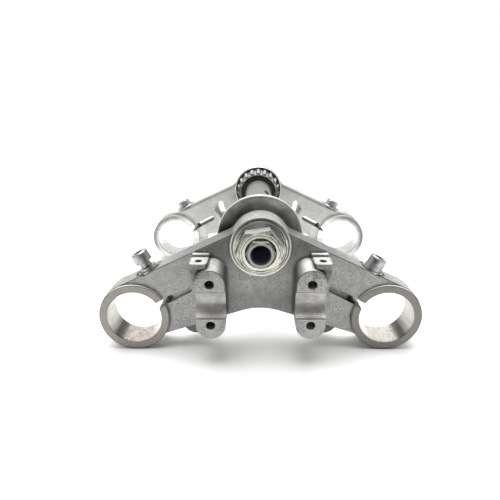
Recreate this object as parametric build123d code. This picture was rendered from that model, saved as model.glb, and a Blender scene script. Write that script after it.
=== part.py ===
# Motorcycle triple clamp: two cast yokes on one steering stem, with bearings and fasteners.
# Millimetres. X runs across the bike, Y runs down the steering axis, Z is up as it lies at rest.
# The origin is on the steering axis, in the plane of the top yoke's upper cast face.
# Fork rings of both yokes rest on the ground, so both share one outer radius and one height.

from build123d import *
from dataclasses import dataclass
from math import asin, cos, degrees, radians, sin, sqrt, tan
import os

# Fork layout
fork_spacing = 190.0          # between the two fork axes
fork_offset = 56.0            # steering axis to the plane of the fork axes
fork_diameter = 41.0          # fork tube
ring_wall = 5.9               # collar round each fork tube
ring_shoulder = 0.5           # how far the cast body stands outside its machined collar
bore_chamfer = 0.5

# Top yoke casting
top_thickness = 19.0
top_collar_height = 2.4       # machined collars above and below the cast faces
arm_angle = 25.5              # slope of the arm's upper edge
underside_angle = 18.5        # slope of the arm's lower edge
underside_reach = 21.2        # fork axis to the arm's lower edge
underside_arch = 45.0         # radius of the arch under the middle
stem_boss_radius = 22.0
boss_blend = 12.0             # concave radius between arm and stem boss
ring_blend = 3.0              # concave radius between ring and arm
cast_round = 0.8              # soft edge left by the mould

# Pinch slots, the same in both yokes
slot_width = 5.2
slot_angle = 28.0             # the slot points from the fork axis up to the stem
slot_reach = 50.0             # fork axis to the slot's round end
pinch_thread = 8.0
thread_play = 0.05            # drawn gap in a tapped hole
bolt_clearance = 0.4          # radial gap in a plain hole
pinch_offset = 26.2           # fork axis to the pinch bolt, along the slot
tapped_depth = 18.0           # depth of the tapped hole past the slot's middle
spot_face_radius = 10.5
spot_face_depth = 2.4         # below the ring's outer radius

# Handlebar risers, cast with the top yoke
riser_spacing = 70.0
riser_width = 21.0
riser_height = 26.0           # front of the riser above the cast face
riser_hole_spacing = 31.0
riser_drop = 34.2             # steering axis to the handlebar's axis
riser_hole_radius = 3.3       # tapped for 8 mm bolts
riser_hole_depth = 32.0
bar_diameter = 22.2
bar_gap = 3.0                 # handlebar's axis above the riser's front
riser_edge = 0.5

# Instrument lugs on the risers
lug_inner = 36.5              # steering axis to the lug's inner side, across the bike
lug_outer = 48.8
lug_level = -4.4              # height of the machined lug face
lug_reach = 24.0              # lug's front above the cast face
lug_lip = 3.5
lug_foot = 31.0               # where the lug's rib runs out, below the steering axis
lug_groove_near = 5.0
lug_groove_far = 10.0
lug_groove_depth = 2.4
lug_corner = 3.0
lug_hole_radius = 2.6
lug_hole_depth = 12.0
lug_hole_reach = 17.5         # hole's axis above the cast face

# Bosses under the top yoke, outboard of the risers
under_boss_radius = 10.6
under_boss_spacing = 99.0
under_boss_drop = 63.3
under_boss_setback = 7.0      # behind the upper cast face
under_boss_height = 5.0       # below the lower cast face
under_boss_hole_radius = 3.3
under_boss_hole_depth = 14.0

# Hollow steering stem
stem_bore = 14.2
stem_thread_radius = 11.0     # 22 mm thread and the journal in the top yoke
stem_upper_radius = 12.5      # upper bearing's seat and the adjuster's thread
stem_shaft_radius = 13.5
stem_seat_radius = 15.0       # lower bearing's seat
stem_root_radius = 17.0       # pressed into the lower yoke
stem_hex = 17.8               # across the flats of the key at the top end
stem_hex_length = 6.0
stem_hex_face_radius = 8.8    # round flat on the key's end
stem_thread_recess = 2.0      # thread's end below the nut's face
journal_play = 0.05
stem_dimple_radius = 1.6
stem_dimple_depth = 131.0     # from the cast face down the stem
stem_dimple_angle = 53.0

# Stem nut and its washer
stem_washer_radius = 20.0
stem_washer_thickness = 2.0
stem_nut_flats = 30.0
stem_nut_height = 10.6
stem_nut_turn = 8.5           # as tightened, the flats are turned by this
stem_nut_face_radius = 14.75
hexagon_chamfer = 30.0        # slope of the chamfer on a hexagon's end

# Bearing adjuster and dust cover
adjuster_radius = 19.0
adjuster_height = 6.5
adjuster_notches = 4
adjuster_notch_width = 5.0
adjuster_notch_depth = 2.5
cover_radius = 32.6
cover_sheet = 1.0
cover_fold = 1.6
cover_crest_radius = 30.0
cover_flat_radius = 20.5
cover_dish = 3.5
cover_skirt = 3.2
cover_hole_play = 0.3

# Lower yoke casting
yoke_distance = 198.5         # between the upper cast faces of the two yokes
lower_thickness = 18.5
lower_collar_front = 5.5
lower_collar_back = 3.0
lower_boss_radius = 26.0
lower_boss_blend = 10.0
lower_edge = 53.5             # steering axis to the web's straight lower edge
lower_ear_width = 5.8         # either side of the pinch bolt
lower_ear_depth = 21.0        # below the slot's middle
lower_ear_round = 5.0
lower_ring_blend = 7.0
lower_front_round = 4.0
lower_root_radius = 24.0      # raised ring round the stem's foot
window_corners = ((-43.0, -11.0), (-50.8, -24.0), (-38.0, -40.0), (-28.0, -34.0), (-30.5, -16.8))
window_corner = 3.0
window_floor = 7.0            # thickness of the window's floor
window_slit = ((-44.2, -15.6), (-40.8, -17.6), (-40.2, -22.5), (-36.5, -29.3), (-43.9, -29.3),
               (-46.8, -19.5))
window_slit_corner = 1.0

# Pinch bolts
cap_head_diameter = 13.0
cap_head_height = 8.0
cap_key = 6.0
cap_key_depth = 4.0
top_bolt_length = 40.0
washer_diameter = 16.4
washer_thickness = 1.6
lock_washer_diameter = 13.6
lock_washer_thickness = 2.0
lock_washer_split = 1.2
left_bolt_lift = 4.5          # the left top bolt is backed out by this
flange_bolt_flats = 12.0
flange_bolt_head = 8.0
flange_bolt_crown = 1.0
flange_bolt_turn = 12.0
flange_diameter = 18.0
flange_thickness = 1.8
lower_bolt_length = 38.0

# Lower dust seal
seal_radius = 25.8
seal_thickness = 1.5

# Values that follow
ring_axis_x = fork_spacing / 2
ring_axis_z = -fork_offset
fork_radius = fork_diameter / 2
collar_radius = fork_radius + ring_wall
ring_radius = collar_radius + ring_shoulder
spot_face_level = ring_radius - spot_face_depth
top_front = -top_collar_height
top_back = top_thickness
adjuster_back = top_back + adjuster_height
upper_bearing_front = adjuster_back + cover_sheet
nut_front = top_front - stem_washer_thickness - stem_nut_height
lower_back = yoke_distance + lower_thickness
lower_bearing_back = yoke_distance - seal_thickness
stem_foot = lower_back + lower_collar_back


@dataclass
class TaperBearing:
    """Inner ring, cage and rollers. The outer ring stays in the bike's head tube."""
    bore_radius: float
    width: float
    pitch_radius: float       # roller's middle to the bearing's axis
    pitch_place: float        # roller's middle from the small face
    roller_radius: float
    roller_length: float
    roller_count: int
    cage_rim_rise: float      # cage's rim at its large end above the rollers' axes
    cage_rise: float = 0.7    # cage's outside above the rollers' axes
    cage_start: float = 0.9
    cage_margin: float = 0.6  # cage's end to the large face
    cage_flare: float = 2.2   # length of the flared end
    cage_rim: float = 1.7     # width of the flared end's edge
    cage_wall: float = 1.0
    cage_lip: float = 1.2
    tilt: float = 8.0         # roller's axis to the bearing's axis
    taper: float = 2.0        # roller's half angle
    small_rib: float = 0.9
    large_rib: float = 1.6
    end_play: float = 0.2
    running_play: float = 0.05
    window_play: float = 0.15


lower_bearing = TaperBearing(
    bore_radius=stem_seat_radius, width=17.0, pitch_radius=20.35, pitch_place=8.3,
    roller_radius=2.45, roller_length=11.5, roller_count=19, cage_rim_rise=3.5)
upper_bearing = TaperBearing(
    bore_radius=stem_upper_radius, width=15.0, pitch_radius=17.0, pitch_place=7.3,
    roller_radius=2.2, roller_length=9.8, roller_count=15, cage_rim_rise=3.2)


def across(depth):
    """Plane square to the steering axis: local x is +X and local y is +Z."""
    return Plane(origin=(0, depth, 0), x_dir=(1, 0, 0), z_dir=(0, -1, 0))


def slab(face, front, back):
    """Solid of one outline between two depths down the steering axis."""
    return extrude(across(back) * face, back - front)


def rod(radius, front, back, x=0.0, z=0.0):
    """Round bar along the steering axis."""
    return slab(Pos(x, z) * Circle(radius), front, back)


def turned(points):
    """Solid turned about the steering axis from corners given as radius and depth."""
    return revolve(make_face(Polyline(*points, close=True)), Axis.Y)


def other_side(solid):
    """The same form on the other side of the bike."""
    return mirror(solid, about=Plane.YZ)


def rounded_corner(outline, near, radius):
    """Outline with the corner nearest to a point rounded."""
    corner = outline.vertices().sort_by_distance(near)[0]
    return outline.fillet_2d(radius, [corner])


def circle_under_line(line_offset, angle, radius):
    """Where a sloping line at an offset from the origin leaves a circle about the origin."""
    along = sqrt(radius ** 2 - line_offset ** 2)
    tilt = radians(angle)
    x = -line_offset * sin(tilt) - along * cos(tilt)
    y = line_offset * cos(tilt) - along * sin(tilt)
    return x, y


def arm_top_offset():
    """Distance from the steering axis to the line of the left arm's upper edge."""
    tilt = radians(arm_angle)
    return ring_radius + ring_axis_z * cos(tilt) + ring_axis_x * sin(tilt)


def arm_face(low_corners):
    """Left arm: tangent to its ring above, with the given corners below."""
    tilt = radians(arm_angle)
    start = (-ring_axis_x - ring_radius * sin(tilt), ring_axis_z + ring_radius * cos(tilt))
    end = (0.0, arm_top_offset() / cos(tilt))
    return make_face(Polyline(start, end, *low_corners, (-ring_axis_x, ring_axis_z), close=True))


def both_sides(face):
    """A flat outline joined with its mirror image."""
    return face + mirror(face, about=Plane.YZ)


def top_outline():
    """Front view of the top yoke without risers."""
    slope = radians(underside_angle)
    # The lower edge is a line at a set distance below the fork axis, rising to the middle.
    middle_z = ring_axis_z - underside_reach / cos(slope) + ring_axis_x * tan(slope)
    touch = sqrt(ring_radius ** 2 - underside_reach ** 2)
    ring_corner = (-ring_axis_x + underside_reach * sin(slope) + touch * cos(slope),
                   ring_axis_z - underside_reach * cos(slope) + touch * sin(slope))
    arm = arm_face([(0.0, middle_z), ring_corner])
    face = both_sides(arm + Pos(-ring_axis_x, ring_axis_z) * Circle(ring_radius))
    face = face + Circle(stem_boss_radius)
    outline = face.faces()[0]
    boss_corner = circle_under_line(arm_top_offset(), arm_angle, stem_boss_radius)
    for side in (1, -1):
        outline = rounded_corner(outline, (side * boss_corner[0], boss_corner[1], 0), boss_blend)
        outline = rounded_corner(outline, (side * ring_corner[0], ring_corner[1], 0), ring_blend)
    return rounded_corner(outline, (0, middle_z, 0), underside_arch)


def soft_plate(outline, front, back, front_round, back_round):
    """Cast plate with softened outer edges."""
    plate = slab(outline, front, back)
    front_edges = plate.faces().sort_by(Axis.Y)[0].edges()
    plate = fillet(front_edges, front_round)
    back_edges = plate.faces().sort_by(Axis.Y)[-1].edges()
    return fillet(back_edges, back_round)


def riser():
    """Left handlebar riser with its half-round seat, without holes."""
    face = SlotCenterToCenter(riser_hole_spacing, riser_width, rotation=90)
    column = slab(Pos(-riser_spacing / 2, -riser_drop) * face, -riser_height, top_thickness / 2)
    column = chamfer(column.faces().sort_by(Axis.Y)[0].edges(), riser_edge)
    seat_axis = Plane(origin=(-riser_spacing / 2, -riser_height - bar_gap, -riser_drop),
                      x_dir=(0, 1, 0), z_dir=(1, 0, 0))
    seat = extrude(seat_axis * Circle(bar_diameter / 2), riser_width, both=True)
    return column - seat


def lug():
    """Left instrument lug: flat pad on a rib that runs down into the arm."""
    side = Plane(origin=(-lug_outer, 0, 0), x_dir=(0, 1, 0), z_dir=(1, 0, 0))
    profile = make_face(Polyline(
        (top_thickness / 2, lug_level),
        (-lug_reach, lug_level),
        (-lug_reach, lug_level - lug_lip),
        (0, -lug_foot),
        (top_thickness / 2, -lug_foot),
        close=True))
    body = extrude(side * profile, lug_outer - lug_inner)
    uprights = body.edges().filter_by(Axis.Z).sort_by(Axis.Y)[:2]
    body = fillet(uprights, lug_corner)
    groove_middle = (lug_groove_near + lug_groove_far) / 2
    groove = Box(3 * riser_width, lug_groove_far - lug_groove_near, 2 * lug_groove_depth)
    return body - Pos(-lug_outer, -groove_middle, lug_level) * groove


def lug_hole():
    """Tapped hole in the left lug's pad."""
    x = -(lug_inner + lug_outer) / 2
    hole = Cylinder(lug_hole_radius, lug_hole_depth, align=(Align.CENTER, Align.CENTER, Align.MAX))
    return Pos(x, -lug_hole_reach, lug_level) * hole


def slot_frame(offset, depth):
    """Plane on the left slot: local x along the slot, local z along the pinch bolt, upwards."""
    tilt = radians(slot_angle)
    origin = (-ring_axis_x + offset * cos(tilt), depth, ring_axis_z + offset * sin(tilt))
    return Plane(origin=origin, x_dir=(cos(tilt), 0, sin(tilt)), z_dir=(-sin(tilt), 0, cos(tilt)))


def pinch_slot(front, back):
    """Left slot from the fork bore to its round end."""
    straight = slot_reach - slot_width / 2
    middle = (front + back) / 2
    bar = Pos(straight / 2, 0, 0) * Box(straight, back - front, slot_width)
    end = Pos(straight, 0, 0) * Rot(90, 0, 0) * Cylinder(slot_width / 2, back - front)
    return slot_frame(0, middle) * (bar + end)


def pinch_hole(depth):
    """Plain hole above the left slot, tapped hole below it and a spot face on top."""
    plain = Cylinder(pinch_thread / 2 + bolt_clearance, 2 * ring_radius,
                     align=(Align.CENTER, Align.CENTER, Align.MIN))
    tapped = Cylinder(pinch_thread / 2 + thread_play, tapped_depth,
                      align=(Align.CENTER, Align.CENTER, Align.MAX))
    seat = Pos(0, 0, spot_face_level) * Cylinder(
        spot_face_radius, ring_radius, align=(Align.CENTER, Align.CENTER, Align.MIN))
    return slot_frame(pinch_offset, depth) * (plain + tapped + seat)


def fork_bore(front, back):
    """Left fork bore with small chamfers at both mouths."""
    bore = rod(fork_radius, front - 1, back + 1, -ring_axis_x, ring_axis_z)
    for depth, outward in ((front, -1), (back, 1)):
        mouth = Cone(fork_radius, fork_radius + 2 * bore_chamfer, 2 * bore_chamfer)
        bore += Pos(-ring_axis_x, depth, ring_axis_z) * Rot(-90 * outward, 0, 0) * mouth
    return bore


def under_boss():
    """Left boss under the arm."""
    return rod(under_boss_radius, under_boss_setback, top_back + under_boss_height,
               -under_boss_spacing / 2, -under_boss_drop)


def under_boss_hole():
    """Tapped hole in the left boss under the arm."""
    back = top_back + under_boss_height
    return rod(under_boss_hole_radius, back - under_boss_hole_depth, back,
               -under_boss_spacing / 2, -under_boss_drop)


def riser_holes():
    """Two tapped holes for the left handlebar clamp."""
    x = -riser_spacing / 2
    reach = riser_hole_spacing / 2
    back = riser_hole_depth - riser_height
    holes = rod(riser_hole_radius, -riser_height, back, x, -riser_drop + reach)
    return holes + rod(riser_hole_radius, -riser_height, back, x, -riser_drop - reach)


def top_yoke():
    """Top yoke casting with risers, lugs and machined seats."""
    front = -top_collar_height
    back = top_back + top_collar_height
    middle = top_thickness / 2
    body = soft_plate(top_outline(), 0, top_back, cast_round, cast_round)
    body += rod(stem_boss_radius, front, top_back)
    for half in (lambda solid: solid, other_side):
        body += half(rod(collar_radius, front, back, -ring_axis_x, ring_axis_z))
        body += half(riser())
        body += half(lug())
        body += half(under_boss())
    for half in (lambda solid: solid, other_side):
        body -= half(fork_bore(front, back))
        body -= half(pinch_slot(front - 1, back + 1))
        body -= half(pinch_hole(middle))
        body -= half(riser_holes())
        body -= half(lug_hole())
        body -= half(under_boss_hole())
    return body - rod(stem_thread_radius + journal_play, front, top_back)


def lower_outline():
    """Front view of the lower yoke."""
    touch = sqrt(ring_radius ** 2 - (lower_edge + ring_axis_z) ** 2)
    ring_corner = (-ring_axis_x + touch, -lower_edge)
    arm = arm_face([(0.0, -lower_edge), ring_corner])
    face = both_sides(arm + Pos(-ring_axis_x, ring_axis_z) * Circle(ring_radius))
    face = face + Circle(lower_boss_radius)
    outline = face.faces()[0]
    boss_corner = circle_under_line(arm_top_offset(), arm_angle, lower_boss_radius)
    for side in (1, -1):
        outline = rounded_corner(outline, (side * boss_corner[0], boss_corner[1], 0), lower_boss_blend)
        outline = rounded_corner(outline, (side * ring_corner[0], ring_corner[1], 0), lower_ring_blend)
    return outline


def lower_window():
    """Left pocket beside the stem, with a slit through its floor."""
    pocket = make_face(Polyline(*window_corners, close=True))
    pocket = fillet(pocket.vertices(), window_corner)
    slit = make_face(Polyline(*window_slit, close=True))
    slit = fillet(slit.vertices(), window_slit_corner)
    floor_front = lower_back - window_floor
    return slab(pocket, yoke_distance, floor_front) + slab(slit, yoke_distance, lower_back)


def lower_ear():
    """Left lug under the lower slot that takes the pinch bolt's thread."""
    front = yoke_distance
    middle = (front + lower_back) / 2
    block = Box(2 * lower_ear_width, lower_back - front, lower_ear_depth,
                align=(Align.CENTER, Align.CENTER, Align.MAX))
    edges = block.edges().filter_by(Axis.Y).group_by(Axis.Z)[0]
    return slot_frame(pinch_offset, middle) * fillet(edges, lower_ear_round)


def lower_yoke():
    """Lower yoke casting with machined fork bores."""
    front = yoke_distance - lower_collar_front
    back = lower_back + lower_collar_back
    middle = (front + back) / 2
    body = soft_plate(lower_outline(), yoke_distance, lower_back, lower_front_round, cast_round)
    body += rod(lower_boss_radius, yoke_distance, lower_back)
    body += rod(lower_root_radius, yoke_distance, back)
    for half in (lambda solid: solid, other_side):
        body += half(rod(collar_radius, front, back, -ring_axis_x, ring_axis_z))
        body += half(lower_ear())
    for half in (lambda solid: solid, other_side):
        body -= half(fork_bore(front, back))
        body -= half(pinch_slot(front - 1, back + 1))
        body -= half(pinch_hole(middle))
        body -= half(lower_window())
    return body - rod(stem_root_radius, yoke_distance, back)


def hexagon(flats, turn=0.0):
    """Regular hexagon with a flat on top, turned in its plane."""
    return RegularPolygon(flats / sqrt(3), 6, rotation=turn)


def chamfered_hexagon(flats, turn, face_radius, front, back):
    """Hexagon bar whose front corners are turned down to a round face."""
    corner = flats / sqrt(3)
    fall = (corner - face_radius) * tan(radians(hexagon_chamfer))
    envelope = turned(((0, front), (face_radius, front), (corner, front + fall),
                       (corner, back), (0, back)))
    return slab(hexagon(flats, turn), front, back) & envelope


def steering_stem():
    """Hollow stepped stem with a key on its top end."""
    thread_top = nut_front + stem_thread_recess
    seat_front = lower_bearing_back - lower_bearing.width
    shaft_front = upper_bearing_front + upper_bearing.width + 1.5
    key_front = thread_top - stem_hex_length
    stem = rod(stem_thread_radius, thread_top, top_back)
    stem += rod(stem_upper_radius, top_back, shaft_front)
    stem += rod(stem_shaft_radius, shaft_front, seat_front)
    stem += rod(stem_seat_radius, seat_front, yoke_distance)
    stem += rod(stem_root_radius, yoke_distance, stem_foot)
    stem = chamfer(stem.edges().filter_by(GeomType.CIRCLE).sort_by(Axis.Y)[0], 1.0)
    stem = chamfer(stem.edges().filter_by(GeomType.CIRCLE).sort_by(Axis.Y)[-1], 1.0)
    stem += chamfered_hexagon(stem_hex, 0, stem_hex_face_radius, key_front, thread_top + 2.0)
    dimple_x = stem_shaft_radius * cos(radians(stem_dimple_angle))
    dimple_z = stem_shaft_radius * sin(radians(stem_dimple_angle))
    dimple = Pos(dimple_x, stem_dimple_depth, dimple_z) * Sphere(stem_dimple_radius)
    return stem - rod(stem_bore / 2, key_front, stem_foot) - dimple


def stem_nut():
    """Hexagon nut on the stem's thread, chamfered on its outer face."""
    back = top_front - stem_washer_thickness
    body = chamfered_hexagon(stem_nut_flats, stem_nut_turn, stem_nut_face_radius, nut_front, back)
    return body - rod(stem_thread_radius + thread_play, nut_front, back)


def stem_washer():
    """Plain washer under the stem nut."""
    back = top_front
    ring = rod(stem_washer_radius, back - stem_washer_thickness, back)
    ring = chamfer(ring.edges().sort_by(Axis.Y)[0], 0.4)
    return ring - rod(stem_thread_radius + bolt_clearance, back - stem_washer_thickness, back)


def adjuster_nut():
    """Slotted ring nut that sets the bearings."""
    nut = rod(adjuster_radius, top_back, adjuster_back)
    nut = chamfer(nut.edges(), 0.6)
    for index in range(adjuster_notches):
        notch = Pos(adjuster_radius, adjuster_back - adjuster_height / 2, 0) * Box(
            2 * adjuster_notch_depth, adjuster_height, adjuster_notch_width)
        nut -= Rot(0, 45 + index * 360 / adjuster_notches, 0) * notch
    return nut - rod(stem_upper_radius + thread_play, top_back, adjuster_back)


def dust_cover():
    """Pressed steel cover: flat middle, raised crest and a skirt round the head tube's end."""
    flat = adjuster_back
    crest = flat - cover_dish
    fold_start = cover_radius - cover_fold
    hole = stem_upper_radius + cover_hole_play
    bend = cover_fold * (1 - cos(radians(45)))
    inner_bend = (cover_fold - cover_sheet) * (1 - cos(radians(45)))
    outer = Polyline((hole, flat), (cover_flat_radius, flat), (cover_crest_radius, crest),
                     (fold_start, crest))
    fold = ThreePointArc((fold_start, crest), (cover_radius - bend, crest + bend),
                         (cover_radius, crest + cover_fold))
    skirt = Polyline((cover_radius, crest + cover_fold), (cover_radius, crest + cover_skirt),
                     (cover_radius - cover_sheet, crest + cover_skirt),
                     (cover_radius - cover_sheet, crest + cover_fold))
    inner_fold = ThreePointArc((cover_radius - cover_sheet, crest + cover_fold),
                               (cover_radius - cover_sheet - inner_bend,
                                crest + cover_sheet + inner_bend),
                               (fold_start, crest + cover_sheet))
    inner = Polyline((fold_start, crest + cover_sheet), (cover_crest_radius, crest + cover_sheet),
                     (cover_flat_radius, flat + cover_sheet), (hole, flat + cover_sheet),
                     (hole, flat))
    return revolve(make_face(outer + fold + skirt + inner_fold + inner), Axis.Y)


def roller_point(bearing, along, out):
    """Point in the half plane of a roller: along its axis from the middle, then square to it."""
    tilt = radians(bearing.tilt)
    radius = bearing.pitch_radius + along * sin(tilt) + out * cos(tilt)
    place = bearing.pitch_place + along * cos(tilt) - out * sin(tilt)
    return radius, place


def roller_profile(bearing, grow=0.0, end_grow=0.0):
    """Half section of a roller, from its axis outwards."""
    half = bearing.roller_length / 2 + end_grow
    spread = half * tan(radians(bearing.taper))
    small = bearing.roller_radius - spread + grow
    large = bearing.roller_radius + spread + grow
    return (roller_point(bearing, -half, 0), roller_point(bearing, -half, small),
            roller_point(bearing, half, large), roller_point(bearing, half, 0))


def roller(bearing, grow=0.0, end_grow=0.0):
    """One tapered roller at the bearing's side on +X."""
    start = roller_point(bearing, 0, 0)
    tilt = radians(bearing.tilt)
    axis = Axis((start[0], start[1], 0), (sin(tilt), cos(tilt), 0))
    face = make_face(Polyline(*roller_profile(bearing, grow, end_grow), close=True))
    return revolve(face, axis)


def around(bearing, solid):
    """Copies of one solid at every roller's place, the first of them on top."""
    step = 360 / bearing.roller_count
    return [Rot(0, index * step - 90, 0) * solid for index in range(bearing.roller_count)]


def bearing_cone(bearing):
    """Inner ring with a low rib at its small end and a high rib at its large end."""
    half = bearing.roller_length / 2 + bearing.end_play
    spread = half * tan(radians(bearing.taper))
    small = bearing.roller_radius - spread + bearing.running_play
    large = bearing.roller_radius + spread + bearing.running_play
    small_top = roller_point(bearing, -half, -small + bearing.small_rib)
    large_top = roller_point(bearing, half, -large + bearing.large_rib)
    return turned((
        (bearing.bore_radius, 0),
        (small_top[0], 0),
        small_top,
        roller_point(bearing, -half, -small),
        roller_point(bearing, half, -large),
        large_top,
        (large_top[0], bearing.width),
        (bearing.bore_radius, bearing.width)))


def cage_radius(bearing, place, rise):
    """Radius at a rise above the rollers' axes, at one place from the small face."""
    tilt = radians(bearing.tilt)
    return bearing.pitch_radius + (place - bearing.pitch_place) * tan(tilt) + rise / cos(tilt)


def bearing_cage(bearing):
    """Pressed cage: a lip, a window for each roller and a flared end outside the rollers."""
    wall = bearing.cage_wall
    start = bearing.cage_start
    end = bearing.width - bearing.cage_margin
    flare = end - bearing.cage_flare
    small = cage_radius(bearing, start, bearing.cage_rise)
    large = cage_radius(bearing, flare, bearing.cage_rise)
    rim = cage_radius(bearing, end, bearing.cage_rim_rise)
    shell = turned((
        (small, start),
        (large, flare),
        (rim, end),
        (rim - bearing.cage_rim, end),
        (large - wall, flare + wall / 2),
        (small - wall, start + wall),
        (small - bearing.cage_lip, start + wall),
        (small - bearing.cage_lip, start)))
    window = roller(bearing, bearing.window_play, bearing.end_play)
    for cut in around(bearing, window):
        shell -= cut
    return shell


def bearing_rollers(bearing):
    """All rollers of one bearing."""
    return Compound(children=around(bearing, roller(bearing)))


def place_lower(solid):
    """Lower bearing: its large end lies against the lower yoke."""
    return Pos(0, lower_bearing_back - lower_bearing.width, 0) * solid


def place_upper(solid):
    """Upper bearing: its large end lies against the dust cover."""
    return Pos(0, upper_bearing_front + upper_bearing.width, 0) * mirror(solid, about=Plane.XZ)


def lower_seal():
    """Ring under the lower bearing that keeps dirt out."""
    back = yoke_distance
    ring = rod(seal_radius, back - seal_thickness, back)
    ring = chamfer(ring.edges().sort_by(Axis.Y)[0], 0.5)
    return ring - rod(stem_seat_radius, back - seal_thickness, back)


def cap_screw():
    """Socket head screw, its head's underside at the origin and its shank downwards."""
    head = Cylinder(cap_head_diameter / 2, cap_head_height,
                    align=(Align.CENTER, Align.CENTER, Align.MIN))
    head = chamfer(head.edges().sort_by(Axis.Z)[-1], 0.7)
    key = Pos(0, 0, cap_head_height) * extrude(hexagon(cap_key), -cap_key_depth)
    shank = Cylinder(pinch_thread / 2, top_bolt_length,
                     align=(Align.CENTER, Align.CENTER, Align.MAX))
    shank = chamfer(shank.edges().sort_by(Axis.Z)[0], 0.8)
    return head - key + shank


def flange_bolt():
    """Hexagon bolt with a flange, the flange's underside at the origin."""
    flange = Cylinder(flange_diameter / 2, flange_thickness,
                      align=(Align.CENTER, Align.CENTER, Align.MIN))
    flange = chamfer(flange.edges().sort_by(Axis.Z)[-1], 1.0)
    corner = flange_bolt_flats / sqrt(3)
    crown = Cylinder(corner, flange_bolt_head, align=(Align.CENTER, Align.CENTER, Align.MIN))
    crown = chamfer(crown.edges().sort_by(Axis.Z)[-1], flange_bolt_crown)
    head = crown & extrude(hexagon(flange_bolt_flats, flange_bolt_turn), flange_bolt_head)
    shank = Cylinder(pinch_thread / 2, lower_bolt_length,
                     align=(Align.CENTER, Align.CENTER, Align.MAX))
    shank = chamfer(shank.edges().sort_by(Axis.Z)[0], 0.8)
    return flange + head + shank


def flat_washer():
    """Plain washer with its underside at the origin."""
    ring = Cylinder(washer_diameter / 2, washer_thickness,
                    align=(Align.CENTER, Align.CENTER, Align.MIN))
    return ring - Cylinder(pinch_thread / 2 + bolt_clearance, 2 * washer_thickness)


def lock_washer():
    """Split spring washer with its underside at the origin."""
    ring = Cylinder(lock_washer_diameter / 2, lock_washer_thickness,
                    align=(Align.CENTER, Align.CENTER, Align.MIN))
    ring -= Cylinder(pinch_thread / 2 + bolt_clearance / 2, 2 * lock_washer_thickness)
    split = Pos(0, lock_washer_diameter / 2, lock_washer_thickness / 2) * Rot(0, 30, 0) * Box(
        lock_washer_split, lock_washer_diameter, 3 * lock_washer_thickness)
    return ring - Rot(0, 0, 130) * split


def on_top_pinch(solid, lift):
    """Puts a fastener of the left top pinch bolt at a height above its spot face."""
    return slot_frame(pinch_offset, top_thickness / 2) * Pos(0, 0, spot_face_level + lift) * solid


def on_lower_pinch(solid):
    """Puts a fastener on the left lower spot face."""
    middle = yoke_distance + (lower_thickness + lower_collar_back - lower_collar_front) / 2
    return slot_frame(pinch_offset, middle) * Pos(0, 0, spot_face_level) * solid


def all_parts():
    """Every sub-part under its own name."""
    lock_level = washer_thickness
    head_level = washer_thickness + lock_washer_thickness
    return {
        "top_yoke": top_yoke(),
        "lower_yoke": lower_yoke(),
        "steering_stem": steering_stem(),
        "stem_nut": stem_nut(),
        "stem_washer": stem_washer(),
        "bearing_adjuster_nut": adjuster_nut(),
        "upper_dust_cover": dust_cover(),
        "upper_bearing_cone": place_upper(bearing_cone(upper_bearing)),
        "upper_bearing_cage": place_upper(bearing_cage(upper_bearing)),
        "upper_bearing_rollers": place_upper(bearing_rollers(upper_bearing)),
        "lower_bearing_cone": place_lower(bearing_cone(lower_bearing)),
        "lower_bearing_cage": place_lower(bearing_cage(lower_bearing)),
        "lower_bearing_rollers": place_lower(bearing_rollers(lower_bearing)),
        "lower_dust_seal": lower_seal(),
        "top_pinch_bolt_left": on_top_pinch(cap_screw(), head_level + left_bolt_lift),
        "top_pinch_bolt_right": other_side(on_top_pinch(cap_screw(), head_level)),
        "top_pinch_lock_washer_left": on_top_pinch(lock_washer(), lock_level),
        "top_pinch_lock_washer_right": other_side(on_top_pinch(lock_washer(), lock_level)),
        "top_pinch_washer_left": on_top_pinch(flat_washer(), 0),
        "top_pinch_washer_right": other_side(on_top_pinch(flat_washer(), 0)),
        "lower_pinch_bolt_left": on_lower_pinch(flange_bolt()),
        "lower_pinch_bolt_right": other_side(on_lower_pinch(flange_bolt())),
    }


os.makedirs("parts", exist_ok=True)
for name, solid in all_parts().items():
    export_step(solid, f"parts/{name}.step")
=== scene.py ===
# Looks of the motorcycle triple clamp: materials, light, floor and camera for the photo's view.
# Metres, in the shared frame: Y runs down the steering axis, Z is up, the floor is under the rings.

import bpy
import math
from mathutils import Matrix, Vector


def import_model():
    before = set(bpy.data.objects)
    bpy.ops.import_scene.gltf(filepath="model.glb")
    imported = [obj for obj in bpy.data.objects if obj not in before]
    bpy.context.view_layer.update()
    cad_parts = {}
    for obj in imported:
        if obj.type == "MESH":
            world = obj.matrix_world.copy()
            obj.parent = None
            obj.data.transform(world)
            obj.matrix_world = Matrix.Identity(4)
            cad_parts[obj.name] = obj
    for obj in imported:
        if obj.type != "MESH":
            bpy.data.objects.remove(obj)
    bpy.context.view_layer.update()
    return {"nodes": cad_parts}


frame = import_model()
nodes = frame["nodes"]

# Sizes and places of the solids that the materials follow; LUG_REACH goes a little past a lug's side
FLOOR_Z = -0.0829
FORK_X = 0.095
FORK_Z = -0.056
FORK_RADIUS = 0.0205
COLLAR_RADIUS = 0.0264
TOP_COLLAR_FRONT = -0.0024
LOWER_COLLAR_FRONT = 0.193
BOSS_RADIUS = 0.022
ROOT_RING_RADIUS = 0.024
ROOT_RING_BACK = 0.2175
PINCH_ANGLE = math.radians(28)
SLOT_HALF = 0.0026
SLOT_END = 0.050
THREAD_PITCH = 0.00125
BAR_Y = -0.029
BAR_Z = -0.0342
BAR_RADIUS = 0.0111
RISER_X = 0.035
RISER_HALF = 0.0105
LUG_X = 0.0426
LUG_REACH = 0.007
LUG_LEVEL = -0.0044
LUG_GROOVE_LEVEL = -0.0068
UNDER_BOSS_X = 0.0495
UNDER_BOSS_Z = -0.0633
UNDER_BOSS_RADIUS = 0.0106
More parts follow.
